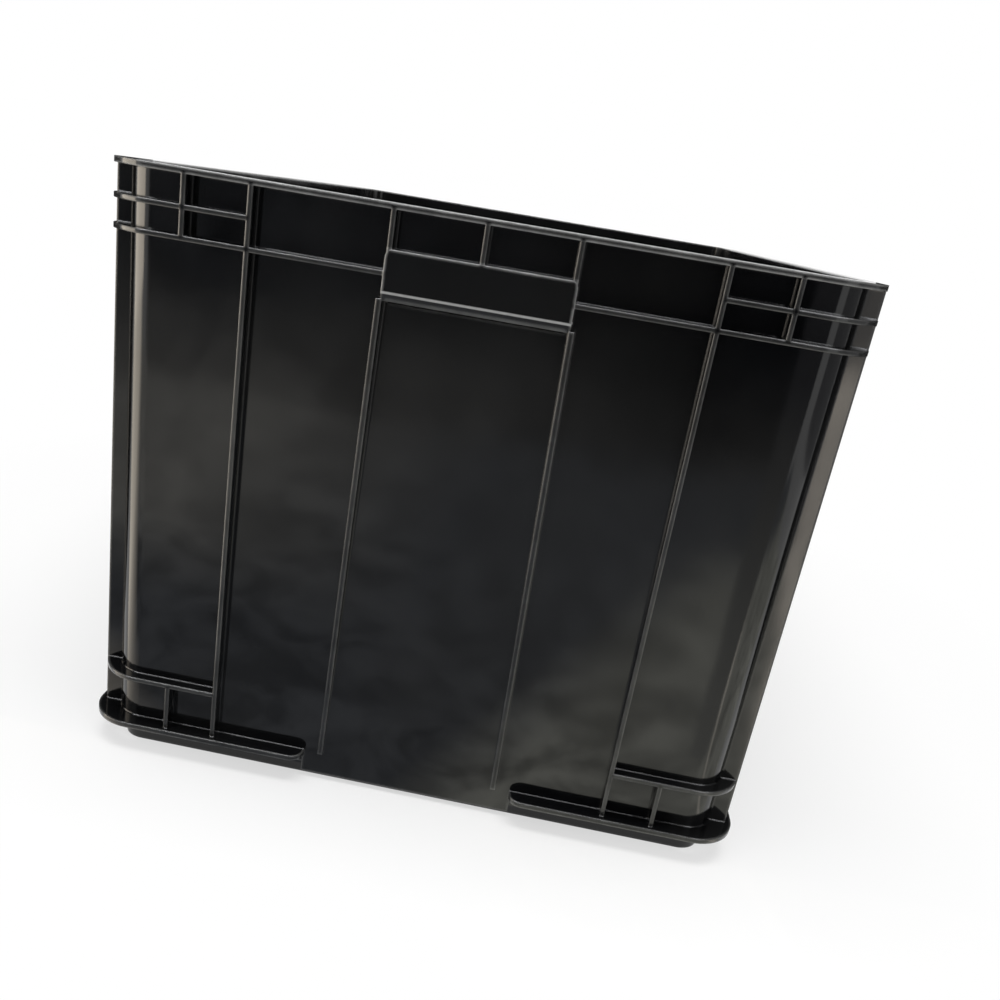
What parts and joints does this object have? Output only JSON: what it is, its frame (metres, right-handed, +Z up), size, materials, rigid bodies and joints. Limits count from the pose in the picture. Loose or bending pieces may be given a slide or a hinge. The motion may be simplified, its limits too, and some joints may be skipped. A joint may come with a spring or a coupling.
{
  "type": "collapsible storage crate",
  "caption": "Open black plastic stacking crate with ribbed walls; its end walls lift out of a base tray and its long walls fold flat on hinge pins.",
  "frame": {"origin": "centre of the base's underside, on the surface the crate stands on", "axes": "+Z up; X across the 400 mm width; Y along the 600 mm length, the front end wall faces -Y"},
  "size_m": [0.4, 0.6, 0.34],
  "materials": {
    "crate_plastic": "glossy injection-moulded black polypropylene",
    "catch_plastic": "satin black moulded plastic",
    "pin_plastic": "black moulded plastic rivet",
    "pin_steel": "plain drawn steel rod"
  },
  "bodies": {
    "base": {"base_tray": "crate_plastic", "hinge_pin_left_1": "pin_steel", "hinge_pin_left_2": "pin_steel", "hinge_pin_left_3": "pin_steel", "hinge_pin_left_4": "pin_steel", "hinge_pin_right_1": "pin_steel", "hinge_pin_right_2": "pin_steel", "hinge_pin_right_3": "pin_steel", "hinge_pin_right_4": "pin_steel"},
    "front_end": {"end_wall_front": "crate_plastic", "catch_pin_front_left": "pin_plastic", "catch_pin_front_right": "pin_plastic"},
    "back_end": {"end_wall_back": "crate_plastic", "catch_pin_back_left": "pin_plastic", "catch_pin_back_right": "pin_plastic"},
    "left_wall": {"long_wall_left": "crate_plastic"},
    "right_wall": {"long_wall_right": "crate_plastic"},
    "corner_catch_front_left_body": {"corner_catch_front_left": "catch_plastic"},
    "corner_catch_front_right_body": {"corner_catch_front_right": "catch_plastic"},
    "corner_catch_back_left_body": {"corner_catch_back_left": "catch_plastic"},
    "corner_catch_back_right_body": {"corner_catch_back_right": "catch_plastic"}
  },
  "joints": [
    {"name": "front_end_lift", "type": "slide", "parent": "base", "child": "front_end", "axis": [0, 0, 1], "range_m": [0, 0.33]},
    {"name": "back_end_lift", "type": "slide", "parent": "base", "child": "back_end", "axis": [0, 0, 1], "range_m": [0, 0.33]},
    {"name": "left_wall_fold", "type": "hinge", "parent": "base", "child": "left_wall", "pos_m": [-0.1735, 0, 0.018], "axis": [0, 1, 0], "range_deg": [0, 90]},
    {"name": "right_wall_fold", "type": "hinge", "parent": "base", "child": "right_wall", "pos_m": [0.1735, 0, 0.035], "axis": [0, -1, 0], "range_deg": [0, 90]},
    {"name": "catch_turn_front_left", "type": "hinge", "parent": "front_end", "child": "corner_catch_front_left_body", "pos_m": [-0.1853, -0.262, 0.3], "axis": [1, 0, 0], "range_deg": [0, 90]},
    {"name": "catch_turn_front_right", "type": "hinge", "parent": "front_end", "child": "corner_catch_front_right_body", "pos_m": [0.1853, -0.262, 0.3], "axis": [1, 0, 0], "range_deg": [0, 90]},
    {"name": "catch_turn_back_left", "type": "hinge", "parent": "back_end", "child": "corner_catch_back_left_body", "pos_m": [-0.1853, 0.262, 0.3], "axis": [-1, 0, 0], "range_deg": [0, 90]},
    {"name": "catch_turn_back_right", "type": "hinge", "parent": "back_end", "child": "corner_catch_back_right_body", "pos_m": [0.1853, 0.262, 0.3], "axis": [-1, 0, 0], "range_deg": [0, 90]}
  ]
}
